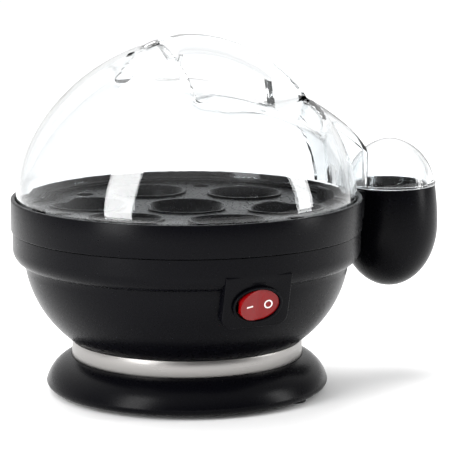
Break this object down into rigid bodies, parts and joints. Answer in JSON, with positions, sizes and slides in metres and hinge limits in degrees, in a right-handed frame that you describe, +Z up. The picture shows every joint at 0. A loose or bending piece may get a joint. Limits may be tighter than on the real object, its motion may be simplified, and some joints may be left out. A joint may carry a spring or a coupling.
{
  "type": "egg cooker",
  "caption": "Round countertop egg cooker with a clear domed lid and handle slot, egg tray, heating plate, rocker switch and side measuring cup.",
  "frame": {"origin": "on the floor, under the middle of the whole footprint (body with cup holder)", "axes": "+X from the body to the cup holder, -Y towards the switch at the front, +Z up"},
  "size_m": [0.2326, 0.1796, 0.1829],
  "materials": {
    "black_plastic": "satin moulded polypropylene",
    "matte_black_plastic": "fine matt moulded",
    "clear_plastic": "polished, clear",
    "brushed_steel": "brushed round the band, polished plate",
    "screw_steel": "zinc plated",
    "sheet_steel": "galvanised sheet",
    "heater_sheath": "dull drawn sheath",
    "silicone": "smooth moulded silicone",
    "rubber": "matt moulded rubber",
    "ceramic": "glazed ceramic",
    "red_plastic": "glossy translucent red",
    "lamp_glass": "clear bulb glass",
    "brass": "plain brass",
    "white_nylon": "moulded nylon",
    "brown_insulation": "extruded insulation",
    "blue_insulation": "extruded insulation"
  },
  "bodies": {
    "cooker": {"upper_ring": "black_plastic", "housing_bowl": "black_plastic", "base_foot": "black_plastic", "cup_holder": "black_plastic", "switch_frame": "black_plastic", "base_cover": "matte_black_plastic", "piercer_base": "matte_black_plastic", "steel_band": "brushed_steel", "heating_plate": "brushed_steel", "piercer_pin": "brushed_steel", "base_screw_1": "screw_steel", "base_screw_2": "screw_steel", "base_screw_3": "screw_steel", "plate_screw_1": "screw_steel", "plate_screw_2": "screw_steel", "plate_screw_3": "screw_steel", "holder_screw_1": "screw_steel", "holder_screw_2": "screw_steel", "clamp_screw_1": "screw_steel", "clamp_screw_2": "screw_steel", "cold_pin_1": "screw_steel", "cold_pin_2": "screw_steel", "heat_shield": "sheet_steel", "heating_element": "heater_sheath", "plate_gasket": "silicone", "rubber_foot_1": "rubber", "rubber_foot_2": "rubber", "rubber_foot_3": "rubber", "cord_gland": "rubber", "thermostat": "ceramic", "thermal_fuse": "ceramic", "neon_lamp": "lamp_glass", "switch_blade_1": "brass", "switch_blade_2": "brass", "switch_blade_3": "brass", "terminal_screw_1": "brass", "terminal_screw_2": "brass", "terminal_screw_3": "brass", "terminal_block": "white_nylon", "cord_clamp": "white_nylon", "live_wire": "brown_insulation", "switched_wire": "brown_insulation", "element_wire": "brown_insulation", "neutral_wire": "blue_insulation"},
    "lid": {"lid_shell": "clear_plastic"},
    "tray": {"egg_tray": "black_plastic"},
    "cup": {"measuring_cup": "clear_plastic"},
    "rocker": {"switch_rocker": "red_plastic"}
  },
  "joints": [
    {"name": "lid_lift", "type": "slide", "parent": "cooker", "child": "lid", "axis": [0, 0, 1], "range_m": [0, 0.2]},
    {"name": "tray_lift", "type": "slide", "parent": "cooker", "child": "tray", "axis": [0, 0, 1], "range_m": [0, 0.1]},
    {"name": "cup_lift", "type": "slide", "parent": "cooker", "child": "cup", "axis": [0, 0, 1], "range_m": [0, 0.12]},
    {"name": "rocker_tilt", "type": "hinge", "parent": "cooker", "child": "rocker", "pos_m": [-0.0266, -0.0839, 0.0602], "axis": [0, 0.2419, -0.9703], "range_deg": [0, 18]}
  ],
  "couplings": [
    {"joint": "tray_lift", "follows": "lid_lift", "ratio": 0.5}
  ]
}
